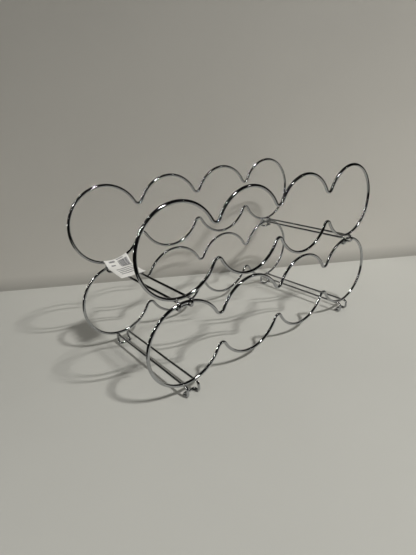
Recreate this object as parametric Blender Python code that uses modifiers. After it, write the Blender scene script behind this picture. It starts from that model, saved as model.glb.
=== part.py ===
"""Two-tier bottle rack bent from chrome-plated steel wire.

Each tier is a front and a back frame, a closed wire outline of four round lobes, welded onto two
cross loops. A cross loop is one closed wire: two parallel wires that run from front to back under
the frames, with rolled ends. The rolled ends of the lower tier are its feet, and those of the upper
tier clip round the top of the lower one, so the upper tier can be taken off.

+X runs along the row of bottles, +Y from front to back, +Z up. The origin is on the floor, under the
middle of the rack. Lengths are in metres.
"""
import math

import bmesh
import bpy
from mathutils import Matrix, Vector

# Driving dimensions
BOTTLE_PITCH = 0.100      # between the middles of two neighbouring lobes
LOBE_COUNT = 4            # bottles side by side in a tier
LOBE_RADIUS = 0.0503      # middle of the wire, round one bottle
CUSP_RADIUS = 0.0062      # middle of the wire, in the small bend between two lobes
FRAME_WIRE = 0.0040       # wire thickness of the frames
CROSS_WIRE = 0.0032       # wire thickness of the cross loops
FRAME_SPACING = 0.1616    # between the middles of the front and the back frame
WIRE_PAIR = 0.016         # between the two wires of a cross loop
FOOT_HEIGHT = 0.0124      # of a lower rolled end, between the middles of its top and bottom wires
CLIP_HEIGHT = 0.0090      # of an upper rolled end, which grips the wire of the tier below
ROLL_RADIUS = 0.0042      # middle of the wire, in the two quarter turns of a rolled end
ROLL_START = 0.00025      # how far past the frame the first of them starts
RETURN_INSET = 0.0045     # from the frame in to the bar that ends a rolled end
BAR_CORNER = 0.003        # middle of the wire, at the two ends of that bar
GAP = 0.0003              # left between wires that touch

# Fineness of the bends, in segments
INNER_LOBE_STEPS = 10
OUTER_LOBE_STEPS = 24
CUSP_STEPS = 5
ROLL_STEPS = 4
CORNER_STEPS = 3
WIRE_SIDES = 8

# Weld beads, half sizes along the frame wire, along the cross wire and between the two
BEAD = (0.0029, 0.0029, 0.0019)
BEAD_SEGMENTS = 12
BEAD_RINGS = 7

# Price label: a strip of paper folded over the back frame and laid on the cross wires
LABEL_WIDTH = 0.034
LABEL_FRONT = -0.062      # its front edge, along Y from the back frame
LABEL_SETTLE = -0.019     # where it has come down onto the cross wires
LABEL_SKEW = 0.105        # sideways shift towards -X for each metre forward
LABEL_OFFSET = 0.004      # its middle from the middle of the lobe, at the back frame
LABEL_THICKNESS = 0.0003
LABEL_CLEARANCE = 0.0007  # from the wires, more than the flats of their bends stand in
LABEL_COLUMNS = 6
LABEL_ROWS = 9
LABEL_FOLD_STEPS = 5

# Worked out from the above
FRAME_Y = FRAME_SPACING / 2
END_LOBE_X = BOTTLE_PITCH * (LOBE_COUNT - 1) / 2
STACK = (FRAME_WIRE + CROSS_WIRE) / 2 + GAP
CROSS_DROP = math.sqrt((LOBE_RADIUS + STACK) ** 2 - (WIRE_PAIR / 2) ** 2)
TIER_RISE = 2 * CROSS_DROP
LOWER_LOBE_Z = CROSS_DROP + FOOT_HEIGHT + CROSS_WIRE / 2
TIERS = {"lower": (LOWER_LOBE_Z, FOOT_HEIGHT), "upper": (LOWER_LOBE_Z + TIER_RISE, CLIP_HEIGHT)}
FACET_ANGLE = math.pi / WIRE_SIDES
CORNER_FACTOR = 1 / math.cos(FACET_ANGLE)   # from a wire's radius out to the corners of its section


def clear_scene():
    for old in list(bpy.data.objects):
        bpy.data.objects.remove(old)


def new_collection(name):
    collection = bpy.data.collections.new(name)
    bpy.context.scene.collection.children.link(collection)
    return collection


def new_material(name, color, metallic, roughness):
    material = bpy.data.materials.new(name)
    material.use_nodes = True
    shader = material.node_tree.nodes["Principled BSDF"]
    shader.inputs["Base Color"].default_value = (*color, 1)
    shader.inputs["Metallic"].default_value = metallic
    shader.inputs["Roughness"].default_value = roughness
    material.diffuse_color = (*color, 1)
    return material


def chrome(name):
    return new_material(name + "_chrome", (0.72, 0.73, 0.74), 1.0, 0.12)


def arc(center, radius, start, end, steps):
    """Points on a circle in a plane, from one angle to another, both included."""
    angles = [start + (end - start) * step / steps for step in range(steps + 1)]
    return [(center[0] + radius * math.cos(a), center[1] + radius * math.sin(a)) for a in angles]


def lobed_outline():
    """The closed outline of a frame in X and Z, about the middle of its row of lobes."""
    half_pitch = BOTTLE_PITCH / 2
    cusp_height = math.sqrt((LOBE_RADIUS + CUSP_RADIUS) ** 2 - half_pitch ** 2)
    touch = math.atan2(cusp_height, half_pitch)   # the angle at which a lobe passes into a cusp
    edge = []
    for index in range(1, LOBE_COUNT):
        lobe_x = -END_LOBE_X + BOTTLE_PITCH * index
        cusp = (lobe_x - half_pitch, cusp_height)
        edge += arc(cusp, CUSP_RADIUS, math.pi + touch, 2 * math.pi - touch, CUSP_STEPS)
        if index < LOBE_COUNT - 1:
            lobe = arc((lobe_x, 0), LOBE_RADIUS, math.pi - touch, touch, INNER_LOBE_STEPS)
            edge += lobe[1:-1]
    right_end = arc((END_LOBE_X, 0), LOBE_RADIUS, math.pi - touch, touch - math.pi, OUTER_LOBE_STEPS)
    half = edge + right_end[1:-1]
    return half + [(-x, -z) for x, z in half]


def rolled_wire_path(height):
    """The closed path of a cross loop, about the middle of its two straight wires."""
    side = WIRE_PAIR / 2
    roll_y = FRAME_Y + ROLL_START
    bar_y = FRAME_Y - RETURN_INSET
    corner = (side - BAR_CORNER, bar_y + BAR_CORNER)
    down = arc((roll_y, -ROLL_RADIUS), ROLL_RADIUS, math.pi / 2, 0, ROLL_STEPS)
    back_in = arc((roll_y, ROLL_RADIUS - height), ROLL_RADIUS, 0, -math.pi / 2, ROLL_STEPS)
    turn = arc(corner, BAR_CORNER, 0, -math.pi / 2, CORNER_STEPS)
    quarter = [(side, y, z) for y, z in down + back_in] + [(x, y, -height) for x, y in turn]
    back = quarter + [(-x, y, z) for x, y, z in reversed(quarter)]
    return back + [(-x, -y, z) for x, y, z in back]


def add_wire(name, path, thickness, place, collection, parent):
    """A closed loop of wire through the points of a path."""
    curve = bpy.data.curves.new(name, "CURVE")
    curve.dimensions = "3D"
    curve.twist_mode = "MINIMUM"
    curve.bevel_depth = thickness / 2 * CORNER_FACTOR
    curve.bevel_resolution = WIRE_SIDES // 2 - 2
    spline = curve.splines.new("POLY")
    spline.points.add(len(path) - 1)
    for point, position in zip(spline.points, path):
        point.co = (*position, 1)
        point.tilt = FACET_ANGLE
    spline.use_cyclic_u = True
    spline.use_smooth = True
    curve.materials.append(chrome(name))
    wire = bpy.data.objects.new(name, curve)
    collection.objects.link(wire)
    wire.parent = parent
    wire.location = place
    return wire


def add_frame(name, y, collection, parent):
    path = [(x, 0, z) for x, z in lobed_outline()]
    return add_wire(name, path, FRAME_WIRE, (0, y, 0), collection, parent)


def add_cross_loop(name, x, height, collection, parent):
    path = rolled_wire_path(height)
    return add_wire(name, path, CROSS_WIRE, (x, 0, -CROSS_DROP), collection, parent)


def add_cutter(name, radius, axis, offset, cutters):
    """A rod that stands for a wire and the gap round it, lying through a weld bead."""
    mesh = bpy.data.meshes.new(name)
    form = bmesh.new()
    length = 4 * max(BEAD)
    bmesh.ops.create_cone(form, cap_ends=True, segments=BEAD_SEGMENTS, radius1=radius,
                          radius2=radius, depth=length)
    form.to_mesh(mesh)
    form.free()
    mesh.transform(Vector((0, 0, 1)).rotation_difference(Vector(axis)).to_matrix().to_4x4())
    mesh.transform(Matrix.Translation((0, 0, offset)))
    cutter = bpy.data.objects.new(name, mesh)
    cutter.hide_render = True
    cutter.display_type = "WIRE"
    cutters.objects.link(cutter)
    return cutter


def bead_mesh(cutters):
    """A bead between a frame wire above it, along X, and a cross wire below it, along Y."""
    mesh = bpy.data.meshes.new("weld_bead")
    form = bmesh.new()
    bmesh.ops.create_uvsphere(form, u_segments=BEAD_SEGMENTS, v_segments=BEAD_RINGS, radius=1)
    bmesh.ops.scale(form, vec=BEAD, verts=form.verts)
    form.to_mesh(mesh)
    form.free()
    blank = bpy.data.objects.new("bead_blank", mesh)
    cutters.objects.link(blank)
    blank.hide_render = True
    blank.display_type = "WIRE"
    frame_radius = FRAME_WIRE / 2 * CORNER_FACTOR + GAP
    cross_radius = CROSS_WIRE / 2 * CORNER_FACTOR + GAP
    wires = [
        add_cutter("frame_wire_gap", frame_radius, (1, 0, 0), (FRAME_WIRE + GAP) / 2, cutters),
        add_cutter("cross_wire_gap", cross_radius, (0, 1, 0), -(CROSS_WIRE + GAP) / 2, cutters),
    ]
    for wire in wires:
        cut = blank.modifiers.new(wire.name, "BOOLEAN")
        cut.operation = "DIFFERENCE"
        cut.object = wire
    bpy.context.view_layer.update()
    shaped = blank.evaluated_get(bpy.context.evaluated_depsgraph_get())
    bead = bpy.data.meshes.new_from_object(shaped)
    bead.shade_smooth()
    bead.set_sharp_from_angle(angle=math.radians(40))
    bpy.data.objects.remove(blank)
    return bead


def add_weld(name, lobe_x, side, frame_y, mesh, collection, parent):
    """One weld, where a cross wire crosses a frame beside the lowest point of a lobe."""
    own_mesh = mesh.copy()
    own_mesh.materials.clear()
    own_mesh.materials.append(chrome(name))
    weld = bpy.data.objects.new(name, own_mesh)
    collection.objects.link(weld)
    weld.parent = parent
    lean = math.atan2(side * WIRE_PAIR / 2, CROSS_DROP)
    reach = LOBE_RADIUS + (FRAME_WIRE + GAP) / 2
    weld.location = (lobe_x + reach * math.sin(lean), frame_y, -reach * math.cos(lean))
    weld.rotation_euler = (0, -lean, 0)
    return weld


def label_profile(arch_z, flat_z, fold_radius):
    """The label's course in Y and Z, about the back frame: over the wire, then down and forward."""
    fold = arc((0, arch_z), fold_radius, 0, math.radians(100), LABEL_FOLD_STEPS)
    start_y, start_z = fold[-1]
    course = []
    for row in range(1, LABEL_ROWS + 1):
        y = start_y + (LABEL_FRONT - start_y) * row / LABEL_ROWS
        share = min((start_y - y) / (start_y - LABEL_SETTLE), 1)
        ease = share * share * (3 - 2 * share)
        course.append((y, start_z + (flat_z - start_z) * ease))
    return fold + course


def add_label(name, collection, parent):
    """The paper label on the upper tier, over the left pair of cross wires."""
    lift = LABEL_CLEARANCE + LABEL_THICKNESS / 2
    flat_z = -CROSS_DROP + CROSS_WIRE / 2 * CORNER_FACTOR + lift
    fold_radius = FRAME_WIRE / 2 * CORNER_FACTOR + lift
    rows = LABEL_FOLD_STEPS + 1 + LABEL_ROWS
    form = bmesh.new()
    bmesh.ops.create_grid(form, x_segments=LABEL_COLUMNS, y_segments=rows - 1, size=0.5)
    for vert in form.verts:
        across = vert.co.x * LABEL_WIDTH + LABEL_OFFSET
        arch_z = -math.sqrt((LOBE_RADIUS - fold_radius) ** 2 - across ** 2) - fold_radius
        row = round((0.5 - vert.co.y) * (rows - 1))
        y, z = label_profile(arch_z, flat_z, fold_radius)[row]
        vert.co = (across + LABEL_SKEW * y, y, z)
    bmesh.ops.recalc_face_normals(form, faces=form.faces)
    mesh = bpy.data.meshes.new(name)
    form.to_mesh(mesh)
    form.free()
    mesh.shade_smooth()
    mesh.materials.append(new_material(name + "_paper", (0.80, 0.80, 0.78), 0.0, 0.7))
    label = bpy.data.objects.new(name, mesh)
    collection.objects.link(label)
    label.parent = parent
    label.location = (-END_LOBE_X, FRAME_Y, 0)
    sheet = label.modifiers.new("paper", "SOLIDIFY")
    sheet.thickness = LABEL_THICKNESS
    sheet.offset = 0
    return label


def add_tier(tier, lobe_z, roll_height, bead, collection):
    """One tier: its frames, cross loops and welds, all under an empty at its row of lobes."""
    base = bpy.data.objects.new(tier + "_rack", None)
    collection.objects.link(base)
    base.location = (0, 0, lobe_z)
    faces = {"front": -FRAME_Y, "back": FRAME_Y}
    ends = {"left": -END_LOBE_X, "right": END_LOBE_X}
    for face, y in faces.items():
        add_frame(f"{tier}_{face}_frame", y, collection, base)
    for end, x in ends.items():
        add_cross_loop(f"{tier}_{end}_cross_loop", x, roll_height, collection, base)
    for face, y in faces.items():
        for end, x in ends.items():
            for place, side in {"outer": math.copysign(1, x), "inner": -math.copysign(1, x)}.items():
                name = f"{tier}_{face}_{end}_{place}_weld"
                add_weld(name, x, side, y, bead, collection, base)
    return base


def main():
    clear_scene()
    rack = new_collection("bottle_rack")
    cutters = new_collection("cutters")
    bead = bead_mesh(cutters)
    bases = {tier: add_tier(tier, *heights, bead, rack) for tier, heights in TIERS.items()}
    add_label("price_label", rack, bases["upper"])


main()
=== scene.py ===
"""The looks of a two-tier bottle rack of chrome-plated wire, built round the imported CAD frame.

Every wire, every weld and the price label are made here as fine meshes, in the places that the frame
gives, with node materials. +X runs along the row of bottles, +Y from front to back and +Z up. Lengths
are in metres.
"""
import math

import bmesh
import bpy
import numpy as np
from mathutils import Euler, Matrix, Vector


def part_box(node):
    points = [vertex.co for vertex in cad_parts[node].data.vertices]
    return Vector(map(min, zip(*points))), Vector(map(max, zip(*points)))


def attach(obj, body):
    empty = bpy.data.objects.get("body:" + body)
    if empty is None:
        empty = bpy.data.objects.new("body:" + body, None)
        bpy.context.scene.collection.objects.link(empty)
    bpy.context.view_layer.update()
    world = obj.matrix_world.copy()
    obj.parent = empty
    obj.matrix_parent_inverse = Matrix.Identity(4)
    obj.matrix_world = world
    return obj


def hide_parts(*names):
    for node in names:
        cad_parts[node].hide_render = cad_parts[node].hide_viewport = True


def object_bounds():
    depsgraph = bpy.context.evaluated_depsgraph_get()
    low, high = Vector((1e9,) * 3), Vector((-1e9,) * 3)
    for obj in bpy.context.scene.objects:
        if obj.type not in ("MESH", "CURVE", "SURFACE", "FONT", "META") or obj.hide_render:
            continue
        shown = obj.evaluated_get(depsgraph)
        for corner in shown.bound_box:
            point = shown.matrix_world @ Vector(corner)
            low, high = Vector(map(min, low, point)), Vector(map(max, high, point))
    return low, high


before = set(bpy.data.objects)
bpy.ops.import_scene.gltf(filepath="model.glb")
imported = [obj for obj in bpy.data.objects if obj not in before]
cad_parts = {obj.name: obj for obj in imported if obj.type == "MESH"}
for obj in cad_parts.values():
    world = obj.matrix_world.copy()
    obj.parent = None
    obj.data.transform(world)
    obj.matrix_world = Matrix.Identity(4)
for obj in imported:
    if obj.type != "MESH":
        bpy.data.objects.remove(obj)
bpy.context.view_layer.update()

TIERS = ("lower", "upper")
SIDES = {"front": -1, "back": 1}    # which way along Y each lies
ENDS = {"left": -1, "right": 1}     # which way along X each lies

# Sizes that the frame's boxes don't give by themselves
LOBE_COUNT = 4
CUSP_RADIUS = 0.0062      # middle of the wire, in the small bend between two lobes
CROSS_RADIUS = 0.0016     # half of the cross wires' thickness
ROLL_RADIUS = 0.0042      # middle of the wire, in the two quarter turns of a rolled end
RETURN_INSET = 0.0045     # from the frame in to the bar that ends a rolled end
BAR_CORNER = 0.003        # middle of the wire, at the two ends of that bar

# Fineness of the meshes
LOBE_STEP = math.radians(2.5)     # from one point of a wire's course to the next, in each bend
CUSP_STEP = math.radians(8)
ROLL_STEP = math.radians(7.5)
CORNER_STEP = math.radians(11)
STRAIGHT_STEP = 0.004             # between two points of a straight stretch
FRAME_SIDES = 20                  # round the wire
CROSS_SIDES = 16
WELD_SUBDIVISIONS = 5

# How real wire differs from ideal wire
WOBBLE = 0.00012          # how far a wire strays from its ideal course
WOBBLE_WAVES = (3, 5, 8, 13, 21)
CALM_REACH = 0.014        # closer than this to a weld, a wire strays less
FLATTENING = 0.35         # times (wire radius / bend radius) squared is lost across a bend
SEAM_HEIGHT = 0.05        # the butt weld that closes a wire, as a share of its radius
SEAM_WIDTH = 0.0005       # how far this weld reaches to each side
SEAM_RINGS = 5            # of the mesh, on each side

# Welds between a frame and a cross wire
WELD_GAP = 0.0003         # between the two wires
WELD_REACH = 0.0026       # from the middle of that gap
WELD_FILLET = 0.0019      # how far the metal rounds the corner between the wires
WELD_SINK = 0.00003       # below the wires' own surfaces, where the weld adds nothing
WELD_LUMPS = 0.22         # how much the fillet's size varies, as a share
WELD_LUMP_WAVES = 6
WELD_LUMP_FINENESS = 3    # standard deviation of their wave numbers, in each direction
WELD_HALVINGS = 24        # of the interval in which the surface is searched for

# Price label: paper folded over the upper back frame and laid on the left cross wires
LABEL_WIDTH = 0.034
LABEL_FRONT = -0.062      # its front edge, along Y from the back frame
LABEL_SETTLE = -0.019     # where it has come down onto the cross wires
LABEL_SKEW = 0.105        # sideways shift towards -X for each metre forward
LABEL_OFFSET = 0.004      # its middle from the middle of the lobe, at the back frame
LABEL_THICKNESS = 0.00018
LABEL_CLEARANCE = 0.0001  # from the wires that it lies on
LABEL_COLUMNS = 40        # points of its mesh, across
LABEL_ROWS = 72           # and along
LABEL_FOLD_STEPS = 12     # of the rows, round the frame's wire
LABEL_FOLD_ANGLE = math.radians(100)
LABEL_DROOP = 0.0009      # of the two long edges, beyond the wires that hold the paper up
LABEL_SAG = 0.00035       # between the two wires
LABEL_LIFT = 0.0003       # of the front edge
LABEL_CURL_START = 0.72   # where the front edge starts to lift, as a share of the way forward

# Colours. A pair is what a material varies between
WIRE_COLORS = ((0.46, 0.47, 0.485), (0.39, 0.395, 0.40))
WELD_COLORS = ((0.40, 0.39, 0.375), (0.58, 0.585, 0.585))
PAPER_COLORS = ((0.80, 0.79, 0.76), (0.86, 0.85, 0.83))
INK_COLOR = (0.16, 0.16, 0.17)
FLOOR_COLOR = (0.562, 0.562, 0.528)
WALL_COLOR = (0.64, 0.62, 0.575)
FLAG_COLOR = (0.006, 0.006, 0.006)
ROOM_COLOR = (0.007, 0.007, 0.007)

# Roughness, in the same way
WIRE_ROUGHNESS = (0.03, 0.055)
SPECK_ROUGHNESS = 0.16    # added in dull specks
SPECK_LEVELS = (0.70, 0.78)     # of their noise, between which they set in
WELD_ROUGHNESS = (0.27, 0.14)
PAPER_ROUGHNESS = (0.52, 0.66)
PAINT_ROUGHNESS = 0.6

LENGTHWISE_SCALE = 12.0   # of the wire's drawing lines, for each metre, where its radius counts as 1
PAINT_MOTTLING = 0.95     # of the paint's colour, left in its darker clouds

# The label's print: each block's place, as shares of the label (across from, to, along from, to), how
# fine its strokes are and the share of it that they cover
PRINT_BLOCKS = [
    ((0.50, 0.93, 0.25, 0.50), 60, 0.62),
    ((0.16, 0.40, 0.22, 0.27), 110, 0.68),
    ((0.16, 0.34, 0.34, 0.38), 110, 0.68),
    ((0.50, 0.80, 0.19, 0.22), 130, 0.66),
]
PRINT_ROW_STARTS = (0.56, 0.64, 0.72, 0.80)
PRINT_ROW_HEIGHT = 0.035
for row_start in PRINT_ROW_STARTS:
    PRINT_BLOCKS.append(((0.18, 0.88, row_start, row_start + PRINT_ROW_HEIGHT), 90, 0.68))
STROKE_SHIFT = 7          # of the strokes' noise, for each block's place along, so that blocks differ

# The wall's paint, with painted shade: darker upwards and to the left, where less light falls, and at
# its very foot, where the wall meets the floor
WALL_DARK_HEIGHT = 1.08   # where it is darkest
WALL_SHADE = 0.15         # of the paint, left at that height, as painted shade
WALL_SHADE_TILT = 0.16    # how much lower the darkening starts for each metre to the left
FOOT_SHADE = 0.66         # of the paint, left at the foot, as painted shade where the wall meets the floor
FOOT_HEIGHTS = (0.004, 0.028)   # between which this fades out

SEED = 20
RANDOM = np.random.default_rng(SEED)


def box_size(node):
    low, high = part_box(node)
    return high - low


def box_middle(node):
    low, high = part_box(node)
    return (low + high) / 2


# Worked out from the frame
frame_size = box_size("lower_front_frame")
loop_size = box_size("lower_left_cross_loop")
FRAME_RADIUS = frame_size.y / 2
LOBE_RADIUS = frame_size.z / 2 - FRAME_RADIUS
BOTTLE_PITCH = (frame_size.x - frame_size.z) / (LOBE_COUNT - 1)
END_LOBE_X = BOTTLE_PITCH * (LOBE_COUNT - 1) / 2
FRAME_Y = box_middle("lower_back_frame").y
WIRE_PAIR = loop_size.x - 2 * CROSS_RADIUS
ROLL_Y = loop_size.y / 2 - CROSS_RADIUS - ROLL_RADIUS
ROLL_HEIGHT = {tier: box_size(tier + "_left_cross_loop").z - 2 * CROSS_RADIUS for tier in TIERS}
LOBE_Z = {tier: box_middle(tier + "_front_frame").z for tier in TIERS}
CROSS_Z = {tier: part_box(tier + "_left_cross_loop")[1].z - CROSS_RADIUS for tier in TIERS}
CROSS_DROP = LOBE_Z["lower"] - CROSS_Z["lower"]


# Courses of the wires

def arc(center, radius, start, end, largest_step):
    """Points on a circle in a plane, from one angle to another, both included."""
    steps = max(1, round(abs(end - start) / largest_step))
    angles = np.linspace(start, end, steps + 1)
    return [(center[0] + radius * math.cos(a), center[1] + radius * math.sin(a)) for a in angles]


def lobed_outline():
    """The closed outline of a frame in X and Z, about the middle of its row of lobes."""
    half_pitch = BOTTLE_PITCH / 2
    cusp_height = math.sqrt((LOBE_RADIUS + CUSP_RADIUS) ** 2 - half_pitch ** 2)
    touch = math.atan2(cusp_height, half_pitch)   # the angle at which a lobe passes into a cusp
    edge = []
    for index in range(1, LOBE_COUNT):
        lobe_x = -END_LOBE_X + BOTTLE_PITCH * index
        cusp = (lobe_x - half_pitch, cusp_height)
        edge += arc(cusp, CUSP_RADIUS, math.pi + touch, 2 * math.pi - touch, CUSP_STEP)
        if index < LOBE_COUNT - 1:
            lobe = arc((lobe_x, 0), LOBE_RADIUS, math.pi - touch, touch, LOBE_STEP)
            edge += lobe[1:-1]
    right_end = arc((END_LOBE_X, 0), LOBE_RADIUS, math.pi - touch, touch - math.pi, LOBE_STEP)
    half = edge + right_end[1:-1]
    return half + [(-x, -z) for x, z in half]


def rolled_wire_path(height):
    """The closed path of a cross loop, about the middle of its two straight wires."""
    side = WIRE_PAIR / 2
    bar_y = FRAME_Y - RETURN_INSET
    corner = (side - BAR_CORNER, bar_y + BAR_CORNER)
    straight = [(y, 0) for y in np.arange(STRAIGHT_STEP / 2, ROLL_Y, STRAIGHT_STEP)]
    down = arc((ROLL_Y, -ROLL_RADIUS), ROLL_RADIUS, math.pi / 2, 0, ROLL_STEP)
    back_in = arc((ROLL_Y, ROLL_RADIUS - height), ROLL_RADIUS, 0, -math.pi / 2, ROLL_STEP)
    turn = arc(corner, BAR_CORNER, 0, -math.pi / 2, CORNER_STEP)
    course = straight + down + back_in
    quarter = [(side, y, z) for y, z in course] + [(x, y, -height) for x, y in turn]
    back = quarter + [(-x, y, z) for x, y, z in reversed(quarter)]
    return back + [(-x, -y, z) for x, y, z in back]


def starting_near(path, place):
    """The same closed path, from its point nearest to a place."""
    distances = [math.dist(point, place) for point in path]
    first = distances.index(min(distances))
    return path[first:] + path[:first]


def with_seam_points(path):
    """The closed path as an array, with more points close to its start, where its ends are welded."""
    points = np.array(path)
    offsets = SEAM_WIDTH * np.arange(1, SEAM_RINGS + 1)[:, None] / 2
    ahead = points[1] - points[0]
    behind = points[-1] - points[0]
    after = points[0] + offsets * ahead / np.linalg.norm(ahead)
    before = points[0] + offsets[::-1] * behind / np.linalg.norm(behind)
    return np.vstack([points[:1], after, points[1:], before])


def strayed(points, calm_places):
    """The path as a hand-fed bender leaves it: slow waves, fading out near the welds."""
    share = np.linspace(0, 2 * math.pi, len(points), endpoint=False)[:, None]
    waves = np.zeros_like(points)
    for count in WOBBLE_WAVES:
        phase = RANDOM.uniform(0, 2 * math.pi, 3)
        waves += np.sin(share * count + phase) / math.sqrt(count)
    near = np.min([np.linalg.norm(points - place, axis=1) for place in calm_places], axis=0)
    freedom = 1 - np.exp(-(near / CALM_REACH) ** 2)
    return points + WOBBLE * freedom[:, None] * waves


# Meshes

def unit(vectors):
    return vectors / np.linalg.norm(vectors, axis=-1, keepdims=True)


def carried_across(tangents):
    """A direction across each tangent of a closed path. It turns as little as it can, and closes."""
    askew = (0.31, 0.95, 0.05)    # no wire starts in this direction
    first = unit(np.cross(tangents[0], askew))
    across = [first]
    for tangent in list(tangents[1:]) + [tangents[0]]:
        last = across[-1]
        across.append(unit(last - tangent * last.dot(tangent)))
    leftover = math.atan2(np.cross(across[-1], first).dot(tangents[0]), across[-1].dot(first))
    across = np.array(across[:-1])
    turns = (leftover * np.arange(len(across)) / len(across))[:, None]
    return across * np.cos(turns) + np.cross(tangents, across) * np.sin(turns)


def wire_mesh(name, points, radius, sides):
    """A closed loop of round wire. Its UV map runs along the wire, in metres, and round it, 0 to 1."""
    count = len(points)
    tangents = unit(np.roll(points, -1, axis=0) - np.roll(points, 1, axis=0))
    across = carried_across(tangents)
    upright = np.cross(tangents, across)
    steps = np.linalg.norm(np.roll(points, -1, axis=0) - points, axis=1)
    along = np.concatenate([[0], np.cumsum(steps)])
    spans = (steps + np.roll(steps, 1))[:, None]
    bends = (np.roll(tangents, -1, axis=0) - np.roll(tangents, 1, axis=0)) / spans
    curvature = np.linalg.norm(bends, axis=1, keepdims=True)
    inward = bends / np.maximum(curvature, 1e-9)
    seam_distance = np.minimum(along[:-1], along[-1] - along[:-1])
    swell = 1 + SEAM_HEIGHT * np.exp(-(seam_distance / SEAM_WIDTH) ** 2)
    angles = np.linspace(0, 2 * math.pi, sides, endpoint=False)[None, :, None]
    ring = across[:, None] * np.cos(angles) + upright[:, None] * np.sin(angles)
    loss = FLATTENING * (radius * curvature) ** 2
    inward_part = np.sum(ring * inward[:, None], axis=2, keepdims=True)
    ring = ring - inward[:, None] * inward_part * loss[:, None]
    surface = points[:, None] + radius * swell[:, None, None] * ring
    index = np.arange(count * sides).reshape(count, sides)
    near, far = index, np.roll(index, -1, axis=0)
    faces = np.stack([near, np.roll(near, -1, axis=1), np.roll(far, -1, axis=1), far], axis=2)
    mesh = bpy.data.meshes.new(name)
    mesh.from_pydata(surface.reshape(-1, 3).tolist(), [], faces.reshape(-1, 4).tolist())
    starts, ends = along[:-1], along[1:]
    lengthwise = np.repeat(np.stack([starts, starts, ends, ends], axis=1), sides, axis=0)
    round_near = np.arange(sides) / sides
    round_far = round_near + 1 / sides
    one_ring = np.stack([round_near, round_far, round_far, round_near], axis=1)
    roundwise = np.tile(one_ring, (count, 1))
    layer = mesh.uv_layers.new(name="wire")
    layer.data.foreach_set("uv", np.stack([lengthwise, roundwise], axis=2).ravel())
    mesh.shade_smooth()
    return mesh


def weld_surface(directions, lumps):
    """How far a weld reaches in each direction from the middle of the gap between the two wires.

    The frame wire is above, bent round its lobe in X and Z; the cross wire is below, along Y. Where
    the two are close, the metal rounds the corner between them.
    """
    fillet = WELD_FILLET * (1 + WELD_LUMPS * lumps)
    frame_height = FRAME_RADIUS + WELD_GAP / 2
    cross_height = -CROSS_RADIUS - WELD_GAP / 2
    lobe_height = frame_height + LOBE_RADIUS

    def depth(reach):
        x, y, z = (directions * reach[:, None]).T
        from_ring = np.hypot(x, z - lobe_height) - LOBE_RADIUS
        to_frame = np.hypot(from_ring, y) - FRAME_RADIUS
        to_cross = np.hypot(x, z - cross_height) - CROSS_RADIUS
        blend = np.maximum(fillet - np.abs(to_frame - to_cross), 0) / fillet
        return np.minimum(to_frame, to_cross) - blend ** 2 * fillet / 4 + WELD_SINK

    inner = np.zeros(len(directions))
    outer = np.full(len(directions), WELD_REACH)
    buried = depth(outer) < 0
    for _ in range(WELD_HALVINGS):
        middle = (inner + outer) / 2
        out = depth(middle) > 0
        outer = np.where(out, middle, outer)
        inner = np.where(out, inner, middle)
    return np.where(buried, WELD_REACH, (inner + outer) / 2)


def weld_mesh(name):
    """One resistance weld, each with its own lumps."""
    form = bmesh.new()
    bmesh.ops.create_icosphere(form, subdivisions=WELD_SUBDIVISIONS, radius=1)
    directions = unit(np.array([vert.co for vert in form.verts]))
    lumps = np.zeros(len(directions))
    for _ in range(WELD_LUMP_WAVES):
        wave = directions @ RANDOM.normal(0, WELD_LUMP_FINENESS, 3)
        lumps += np.sin(wave + RANDOM.uniform(0, 2 * math.pi)) / 3
    reach = weld_surface(directions, lumps)
    for vert, direction, distance in zip(form.verts, directions, reach):
        vert.co = direction * distance
    mesh = bpy.data.meshes.new(name)
    form.to_mesh(mesh)
    form.free()
    mesh.shade_smooth()
    return mesh


def label_point(across, share):
    """A point of the label's middle surface, about the back frame at the end lobe's middle.

    across runs over the width, in metres, and share from 0 at the end behind the frame to 1 at the
    front edge.
    """
    lift = LABEL_CLEARANCE + LABEL_THICKNESS / 2
    flat_z = -CROSS_DROP + CROSS_RADIUS + lift
    fold_radius = FRAME_RADIUS + lift
    arch_z = -math.sqrt((LOBE_RADIUS - fold_radius) ** 2 - across ** 2) - fold_radius
    fold_share = LABEL_FOLD_STEPS / (LABEL_ROWS - 1)
    angle = LABEL_FOLD_ANGLE * min(share / fold_share, 1)
    y = fold_radius * math.cos(angle)
    z = arch_z + fold_radius * math.sin(angle)
    if share > fold_share:
        forward = (share - fold_share) / (1 - fold_share)
        start_y = y
        y = start_y + (LABEL_FRONT - start_y) * forward
        settled = min((start_y - y) / (start_y - LABEL_SETTLE), 1)
        ease = settled * settled * (3 - 2 * settled)
        z += (flat_z - z) * ease
        from_middle = abs(across - LABEL_OFFSET * (1 - forward))
        beyond = max(from_middle - WIRE_PAIR / 2, 0) / (LABEL_WIDTH / 4)
        between = max(1 - (across / (WIRE_PAIR / 2)) ** 2, 0)
        front_curl = max(forward - LABEL_CURL_START, 0) / (1 - LABEL_CURL_START)
        z += ease * (-LABEL_DROOP * beyond ** 2 * (1 - front_curl) - LABEL_SAG * between)
        z += LABEL_LIFT * front_curl ** 2
    return across + LABEL_SKEW * y, y, z


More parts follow.
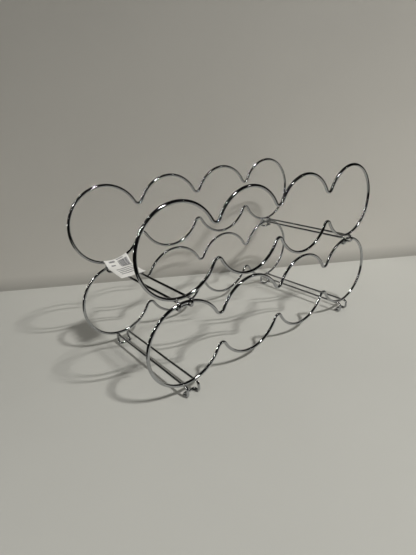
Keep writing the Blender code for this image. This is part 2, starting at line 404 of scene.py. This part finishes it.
def label_mesh(name):
    """A thin sheet of paper with its UV map from 0 to 1 over the width and along the length."""
    points = []
    spread = []
    for row in range(LABEL_ROWS):
        for column in range(LABEL_COLUMNS):
            over = column / (LABEL_COLUMNS - 1)
            share = row / (LABEL_ROWS - 1)
            points.append(label_point((over - 0.5) * LABEL_WIDTH + LABEL_OFFSET, share))
            spread.append((over, share))
    index = np.arange(LABEL_ROWS * LABEL_COLUMNS).reshape(LABEL_ROWS, LABEL_COLUMNS)
    faces = np.stack([index[:-1, :-1], index[1:, :-1], index[1:, 1:], index[:-1, 1:]], axis=2)
    mesh = bpy.data.meshes.new(name)
    mesh.from_pydata(points, [], faces.reshape(-1, 4).tolist())
    layer = mesh.uv_layers.new(name="paper")
    corners = [spread[loop.vertex_index] for loop in mesh.loops]
    layer.data.foreach_set("uv", np.array(corners).ravel())
    mesh.shade_smooth()
    return mesh


# Materials

def add_node(tree, kind, inputs=None, **settings):
    """A shader node. Each input is given a plain value or another node's output."""
    node = tree.nodes.new(kind)
    for name, value in settings.items():
        setattr(node, name, value)
    for name, value in (inputs or {}).items():
        if isinstance(value, bpy.types.NodeSocket):
            tree.links.new(value, node.inputs[name])
        else:
            node.inputs[name].default_value = value
    return node


def calculated(tree, operation, *values):
    """The output of a Math node."""
    node = add_node(tree, "ShaderNodeMath", dict(enumerate(values)), operation=operation)
    return node.outputs[0]


def noise(tree, vector, scale, detail=2.0):
    inputs = {"Vector": vector, "Scale": scale, "Detail": detail}
    return add_node(tree, "ShaderNodeTexNoise", inputs).outputs[0]


def spread_over(tree, value, low, high, from_low=0.3, from_high=0.7):
    """A value carried over to a range from another one, by default the one that noise mostly fills."""
    inputs = {
        "Value": value,
        "From Min": from_low,
        "From Max": from_high,
        "To Min": low,
        "To Max": high,
    }
    return add_node(tree, "ShaderNodeMapRange", inputs).outputs[0]


def mixed_color(tree, share, first, second):
    node = add_node(tree, "ShaderNodeMix", {"Factor": share}, data_type="RGBA")
    for socket, color in zip([s for s in node.inputs if s.type == "RGBA"], (first, second)):
        if isinstance(color, bpy.types.NodeSocket):
            tree.links.new(color, socket)
        else:
            socket.default_value = (*color, 1)
    return [s for s in node.outputs if s.type == "RGBA"][0]


def bumped(tree, height, distance, normal=None):
    inputs = {"Height": height, "Distance": distance, "Strength": 1.0}
    if normal is not None:
        inputs["Normal"] = normal
    return add_node(tree, "ShaderNodeBump", inputs).outputs[0]


def new_material(name):
    material = bpy.data.materials.new(name)
    material.use_nodes = True
    tree = material.node_tree
    return material, tree, tree.nodes["Principled BSDF"]


def object_position(tree):
    return add_node(tree, "ShaderNodeTexCoord").outputs["Object"]


def along_wire(tree):
    """Coordinates along and round the wire, joined up all the way round."""
    uv = add_node(tree, "ShaderNodeUVMap", uv_map="wire").outputs["UV"]
    parts = add_node(tree, "ShaderNodeSeparateXYZ", {"Vector": uv})
    turn = calculated(tree, "MULTIPLY", parts.outputs["Y"], 2 * math.pi)
    inputs = {
        "X": calculated(tree, "COSINE", turn),
        "Y": calculated(tree, "SINE", turn),
        "Z": calculated(tree, "MULTIPLY", parts.outputs["X"], LENGTHWISE_SCALE),
    }
    return add_node(tree, "ShaderNodeCombineXYZ", inputs).outputs["Vector"]


def chrome_wire_material():
    """Bright chrome over drawn wire: faint drawing lines, slow ripples and hazy handling marks."""
    material, tree, shader = new_material("chrome_wire")
    position = object_position(tree)
    lengthwise = along_wire(tree)
    haze = noise(tree, position, scale=70, detail=4)
    specks = noise(tree, position, scale=2600, detail=1)
    lines = noise(tree, lengthwise, scale=6, detail=3)
    ripples = noise(tree, position, scale=210)
    dull_speck = spread_over(tree, specks, 0, SPECK_ROUGHNESS, *SPECK_LEVELS)
    roughness = calculated(tree, "ADD", spread_over(tree, haze, *WIRE_ROUGHNESS), dull_speck)
    color = mixed_color(tree, spread_over(tree, haze, 0, 1), *WIRE_COLORS)
    tree.links.new(color, shader.inputs["Base Color"])
    tree.links.new(roughness, shader.inputs["Roughness"])
    rippled = bumped(tree, ripples, distance=0.00003)
    lined = bumped(tree, lines, distance=0.000004, normal=rippled)
    tree.links.new(lined, shader.inputs["Normal"])
    shader.inputs["Metallic"].default_value = 1.0
    return material


def chrome_weld_material():
    """Chrome over the lumpy metal of a weld, rougher and a little darker in its hollows."""
    material, tree, shader = new_material("chrome_weld")
    position = object_position(tree)
    lumps = noise(tree, position, scale=900, detail=4)
    grains = noise(tree, position, scale=4200)
    color = mixed_color(tree, spread_over(tree, lumps, 0, 1), *WELD_COLORS)
    tree.links.new(color, shader.inputs["Base Color"])
    tree.links.new(spread_over(tree, lumps, *WELD_ROUGHNESS), shader.inputs["Roughness"])
    lumpy = bumped(tree, lumps, distance=0.00012)
    grained = bumped(tree, grains, distance=0.00002, normal=lumpy)
    tree.links.new(grained, shader.inputs["Normal"])
    shader.inputs["Metallic"].default_value = 1.0
    return material


def inside(tree, value, low, high):
    """1 where a value lies between two limits, else 0."""
    above = calculated(tree, "GREATER_THAN", value, low)
    below = calculated(tree, "LESS_THAN", value, high)
    return calculated(tree, "MULTIPLY", above, below)


def printed_block(tree, across, along, block, fineness, cover):
    """Strokes of uneven width along the label that fill a block (across from, to, along from, to)."""
    over_width = inside(tree, across, *block[:2])
    over_length = inside(tree, along, *block[2:])
    area = calculated(tree, "MULTIPLY", over_width, over_length)
    shifted = calculated(tree, "ADD", across, block[2] * STROKE_SHIFT)
    inputs = {"W": shifted, "Scale": fineness, "Detail": 0.0}
    strokes = add_node(tree, "ShaderNodeTexNoise", inputs, noise_dimensions="1D").outputs[0]
    return calculated(tree, "MULTIPLY", area, calculated(tree, "GREATER_THAN", strokes, 1 - cover))


def paper_material():
    """White coated paper with plain grey blocks and rows of strokes, which spell nothing."""
    material, tree, shader = new_material("label_paper")
    position = object_position(tree)
    uv = add_node(tree, "ShaderNodeUVMap", uv_map="paper").outputs["UV"]
    parts = add_node(tree, "ShaderNodeSeparateXYZ", {"Vector": uv})
    across, along = parts.outputs["X"], parts.outputs["Y"]
    ink = 0.0
    for block, fineness, cover in PRINT_BLOCKS:
        strokes = printed_block(tree, across, along, block, fineness, cover)
        ink = calculated(tree, "MAXIMUM", ink, strokes)
    fibres = noise(tree, position, scale=1500, detail=5)
    clouds = noise(tree, position, scale=90)
    paper = mixed_color(tree, spread_over(tree, clouds, 0, 1), *PAPER_COLORS)
    tree.links.new(mixed_color(tree, ink, paper, INK_COLOR), shader.inputs["Base Color"])
    tree.links.new(spread_over(tree, fibres, *PAPER_ROUGHNESS), shader.inputs["Roughness"])
    tree.links.new(bumped(tree, fibres, distance=0.00002), shader.inputs["Normal"])
    return material


def plain_surface(name, color, is_wall=False):
    """Matt paint with a slight unevenness. The wall's also carries painted shade, and is clear when
    seen from behind.
    """
    material, tree, shader = new_material(name)
    position = object_position(tree)
    clouds = noise(tree, position, scale=3, detail=3)
    grains = noise(tree, position, scale=700)
    darker = tuple(PAINT_MOTTLING * c for c in color)
    paint = mixed_color(tree, spread_over(tree, clouds, 0, 1), color, darker)
    if is_wall:
        # Painted shade: the wall's colour darkens upwards and to the left, where less light falls
        sideways, _, height = add_node(tree, "ShaderNodeSeparateXYZ", {"Vector": position}).outputs
        climb = calculated(tree, "MULTIPLY_ADD", sideways, -WALL_SHADE_TILT, height)
        shade = spread_over(tree, climb, 0, 1, 0, WALL_DARK_HEIGHT)
        paint = mixed_color(tree, shade, paint, tuple(WALL_SHADE * c for c in color))
        # Painted shade at the wall's foot, where it meets the floor
        above_foot = spread_over(tree, height, 0, 1, *FOOT_HEIGHTS)
        paint = mixed_color(tree, above_foot, tuple(FOOT_SHADE * c for c in color), paint)
    tree.links.new(paint, shader.inputs["Base Color"])
    tree.links.new(bumped(tree, grains, distance=0.00004), shader.inputs["Normal"])
    shader.inputs["Roughness"].default_value = PAINT_ROUGHNESS
    if is_wall:
        clear = add_node(tree, "ShaderNodeBsdfTransparent")
        backs = add_node(tree, "ShaderNodeNewGeometry").outputs["Backfacing"]
        inputs = {0: backs, 1: shader.outputs[0], 2: clear.outputs[0]}
        one_sided = add_node(tree, "ShaderNodeMixShader", inputs)
        tree.links.new(one_sided.outputs[0], tree.nodes["Material Output"].inputs["Surface"])
    return material


CHROME_WIRE = chrome_wire_material()
CHROME_WELD = chrome_weld_material()
PAPER = paper_material()


# Pieces

def add_piece(name, mesh, material, node):
    mesh.materials.append(material)
    piece = bpy.data.objects.new(name, mesh)
    bpy.context.scene.collection.objects.link(piece)
    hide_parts(node)
    return piece


def add_frame(tier, face):
    node = f"{tier}_{face}_frame"
    lobe_z = LOBE_Z[tier]
    y = box_middle(node).y
    path = [(x, y, z + lobe_z) for x, z in lobed_outline()]
    seam = (SIDES[face] * BOTTLE_PITCH / 2, y, lobe_z - LOBE_RADIUS)
    welds = [(end * END_LOBE_X, y, lobe_z - LOBE_RADIUS) for end in ENDS.values()]
    points = strayed(with_seam_points(starting_near(path, seam)), welds)
    mesh = wire_mesh(node + "_wire", points, FRAME_RADIUS, FRAME_SIDES)
    piece = add_piece(node + "_wire", mesh, CHROME_WIRE, node)
    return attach(piece, tier + "_rack")


def add_cross_loop(tier, end):
    node = f"{tier}_{end}_cross_loop"
    x = box_middle(node).x
    top = CROSS_Z[tier]
    height = ROLL_HEIGHT[tier]
    path = [(x + px, py, top + pz) for px, py, pz in rolled_wire_path(height)]
    seam = (x + ENDS[end] * WIRE_PAIR / 2, FRAME_Y / 3, top)
    fixed = [(x, side * FRAME_Y, top) for side in SIDES.values()]
    fixed += [(x, side * FRAME_Y, top - height) for side in SIDES.values()]
    points = strayed(with_seam_points(starting_near(path, seam)), fixed)
    mesh = wire_mesh(node + "_wire", points, CROSS_RADIUS, CROSS_SIDES)
    piece = add_piece(node + "_wire", mesh, CHROME_WIRE, node)
    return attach(piece, tier + "_rack")


def add_weld(tier, face, end, wire):
    """A weld on the outer or inner wire of a pair, with its upright pointing at the lobe's middle."""
    node = f"{tier}_{face}_{end}_{wire}_weld"
    toward = ENDS[end] if wire == "outer" else -ENDS[end]
    lean = math.atan2(toward * WIRE_PAIR / 2, CROSS_DROP)
    reach = LOBE_RADIUS + FRAME_RADIUS + WELD_GAP / 2
    lobe = Vector((ENDS[end] * END_LOBE_X, SIDES[face] * FRAME_Y, LOBE_Z[tier]))
    place = lobe + Vector((math.sin(lean), 0, -math.cos(lean))) * reach
    mesh = weld_mesh(node + "_bead")
    mesh.transform(Matrix.Translation(place) @ Matrix.Rotation(-lean, 4, "Y"))
    piece = add_piece(node + "_bead", mesh, CHROME_WELD, node)
    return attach(piece, tier + "_rack")


def add_label():
    mesh = label_mesh("price_label_sheet")
    mesh.transform(Matrix.Translation((-END_LOBE_X, FRAME_Y, LOBE_Z["upper"])))
    piece = add_piece("price_label_sheet", mesh, PAPER, "price_label")
    sheet = piece.modifiers.new("paper", "SOLIDIFY")
    sheet.thickness = LABEL_THICKNESS
    sheet.offset = 0
    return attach(piece, "upper_rack")


def add_rack():
    for tier in TIERS:
        for face in SIDES:
            add_frame(tier, face)
        for end in ENDS:
            add_cross_loop(tier, end)
        for face in SIDES:
            for end in ENDS:
                for wire in ("outer", "inner"):
                    add_weld(tier, face, end, wire)
    add_label()


# Setting

FLOOR_SIZE = 8.0
WALL_DISTANCE = 0.219     # from the origin, square to the wall
WALL_DIRECTION = Vector((0.559, 0.829, 0)).normalized()
WALL_HEIGHT = 3.0
TABLE_LEFT = -0.34        # where the part of the floor that shows in reflections comes to an end
TABLE_FRONT = -0.34
TABLE_RIGHT = 0.42
WALL_LEFT = -0.42         # the same of the wall, along it from the point nearest to the origin
WALL_RIGHT = 0.42
WALL_TOP = 0.28
FLAG_RISE = 0.002         # of the black sheets, over the floor and the wall

LAMP_HEIGHT = 3.07
LAMP_TURN = math.radians(-27)   # of all lamps, from the X axis to their length
LAMP_COLOR = (1.0, 0.985, 0.945)

# Ceiling lamps: middle in X and Y, length, width and power in watts
LAMPS = {
    "key_near": (0.548, -2.470, 0.36, 0.04, 68),
    "key_far": (0.658, -2.254, 0.36, 0.04, 68),
    "lamp_right": (4.3, -4.0, 0.5, 0.2, 10),
    "lamp_beside": (-2.96, -0.47, 0.3, 0.06, 10),
    "lamp_beside_far": (-4.06, 0.09, 0.3, 0.06, 8),
    "lamp_behind": (-3.80, 0.79, 0.3, 0.06, 14),
}
# The same for lamps that only shiny surfaces see
GLINTS = {
    "key_glow": (0.603, -2.362, 0.9, 0.10, 24),
    "glint_left": (-2.4, -2.4, 0.4, 0.10, 9),
    "glint_far_left": (-4.2, -2.4, 0.4, 0.10, 12),
    "glint_right": (5.2, -0.2, 0.4, 0.15, 14),
    "glint_end_right": (6.0, -0.2, 0.4, 0.15, 14),
}

# A rising row of small lamps to the left, which only shiny surfaces see
ROW_DIRECTION = Vector((-0.92, 0.39, 0))
ROW_DISTANCE = 4.0
ROW_ELEVATIONS = [math.radians(degrees) for degrees in range(5, 66, 12)]
ROW_LAMP = (0.24, 0.12, 6.5)    # length, width and power of each

# A soft lamp to the right, which leaves no highlight
FILL_PLACE = (1.7, -0.6, 0.9)
FILL_AIM = (0, 0, 0.1)
FILL_LAMP = (1.2, 1.2, 9)       # length, width and power

# The photograph's viewpoint
CAMERA_PLACE = (-0.36033, -0.39265, 0.29987)
CAMERA_TURN = (67.5556, 3.1577, -39.4476)   # XYZ Euler angles in degrees
CAMERA_LENS = 25.56
SENSOR_WIDTH = 36.0


def add_panel(name, corners, material):
    mesh = bpy.data.meshes.new(name)
    mesh.from_pydata(corners, [], [range(len(corners))])
    mesh.materials.append(material)
    panel = bpy.data.objects.new(name, mesh)
    bpy.context.scene.collection.objects.link(panel)
    return panel


def level_rectangle(left, right, near, far, height):
    return [(left, near, height), (right, near, height), (right, far, height), (left, far, height)]


def wall_rectangle(left, right, low, high, nearer=0.0):
    """Part of the wall's plane, in metres along it and up, or a plane a little nearer to the rack."""
    foot = WALL_DIRECTION * (WALL_DISTANCE - nearer)
    along = Vector((WALL_DIRECTION.y, -WALL_DIRECTION.x, 0))
    corners = ((left, low), (right, low), (right, high), (left, high))
    return [foot + along * across + Vector((0, 0, height)) for across, height in corners]


def add_setting():
    """A pale floor, and a pale wall behind it that shows only from its front."""
    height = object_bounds()[0].z
    half = FLOOR_SIZE / 2
    floor = level_rectangle(-half, half, -half, half, height)
    add_panel("floor", floor, plain_surface("floor_paint", FLOOR_COLOR))
    wall = wall_rectangle(-half, half, height, WALL_HEIGHT)
    add_panel("wall", wall, plain_surface("wall_paint_and_shade", WALL_COLOR, is_wall=True))


def add_flags():
    """Black sheets that show only in reflections, as a photographer sets them round a shiny object.

    They lie just over the floor and the wall, all round the part of these that is next to the rack.
    """
    material, _, shader = new_material("flag_black")
    shader.inputs["Base Color"].default_value = (*FLAG_COLOR, 1)
    shader.inputs["Specular IOR Level"].default_value = 0.0
    half = FLOOR_SIZE / 2
    sheets = {
        "flag_left": level_rectangle(-half, TABLE_LEFT, -half, half, FLAG_RISE),
        "flag_front": level_rectangle(TABLE_LEFT, TABLE_RIGHT, -half, TABLE_FRONT, FLAG_RISE),
        "flag_right": level_rectangle(TABLE_RIGHT, half, -half, half, FLAG_RISE),
        "flag_wall_left": wall_rectangle(-half, WALL_LEFT, 0, WALL_HEIGHT, FLAG_RISE),
        "flag_wall_right": wall_rectangle(WALL_RIGHT, half, 0, WALL_HEIGHT, FLAG_RISE),
        "flag_wall_top": wall_rectangle(WALL_LEFT, WALL_RIGHT, WALL_TOP, WALL_HEIGHT, FLAG_RISE),
    }
    for name, corners in sheets.items():
        flag = add_panel(name, corners, material)
        flag.visible_camera = False
        flag.visible_diffuse = False
        flag.visible_shadow = False


def add_light(name, place, length, width, power, color):
    """A rectangular lamp. It faces straight down until it is turned."""
    light = bpy.data.lights.new(name, "AREA")
    light.shape = "RECTANGLE"
    light.size = length
    light.size_y = width
    light.energy = power
    light.color = color
    lamp = bpy.data.objects.new(name, light)
    bpy.context.scene.collection.objects.link(lamp)
    lamp.location = place
    return lamp


def add_lights():
    for name, (x, y, length, width, power) in (LAMPS | GLINTS).items():
        lamp = add_light(name, (x, y, LAMP_HEIGHT), length, width, power, LAMP_COLOR)
        lamp.rotation_euler.z = LAMP_TURN
        lamp.visible_diffuse = name not in GLINTS
    for number, elevation in enumerate(ROW_ELEVATIONS):
        rise = Vector((0, 0, math.sin(elevation)))
        place = ROW_DISTANCE * (math.cos(elevation) * ROW_DIRECTION + rise)
        lamp = add_light("row_lamp_" + str(number), place, *ROW_LAMP, LAMP_COLOR)
        lamp.rotation_euler = (-place).to_track_quat("-Z", "Y").to_euler()
        lamp.visible_diffuse = False
    fill = add_light("right_fill", FILL_PLACE, *FILL_LAMP, (1, 1, 1))
    fill.visible_glossy = False
    fill.rotation_euler = (Vector(FILL_AIM) - fill.location).to_track_quat("-Z", "Y").to_euler()
    world = bpy.data.worlds.new("room")
    bpy.context.scene.world = world
    world.use_nodes = True
    background = world.node_tree.nodes["Background"]
    background.inputs["Color"].default_value = (*ROOM_COLOR, 1)


def add_camera():
    camera = bpy.data.cameras.new("camera")
    camera.lens = CAMERA_LENS
    camera.sensor_width = SENSOR_WIDTH
    viewer = bpy.data.objects.new("camera", camera)
    bpy.context.scene.collection.objects.link(viewer)
    viewer.location = CAMERA_PLACE
    viewer.rotation_euler = Euler([math.radians(a) for a in CAMERA_TURN])
    bpy.context.scene.camera = viewer


add_rack()
add_setting()
add_flags()
add_lights()
add_camera()
bpy.context.scene.view_settings.view_transform = "Standard"
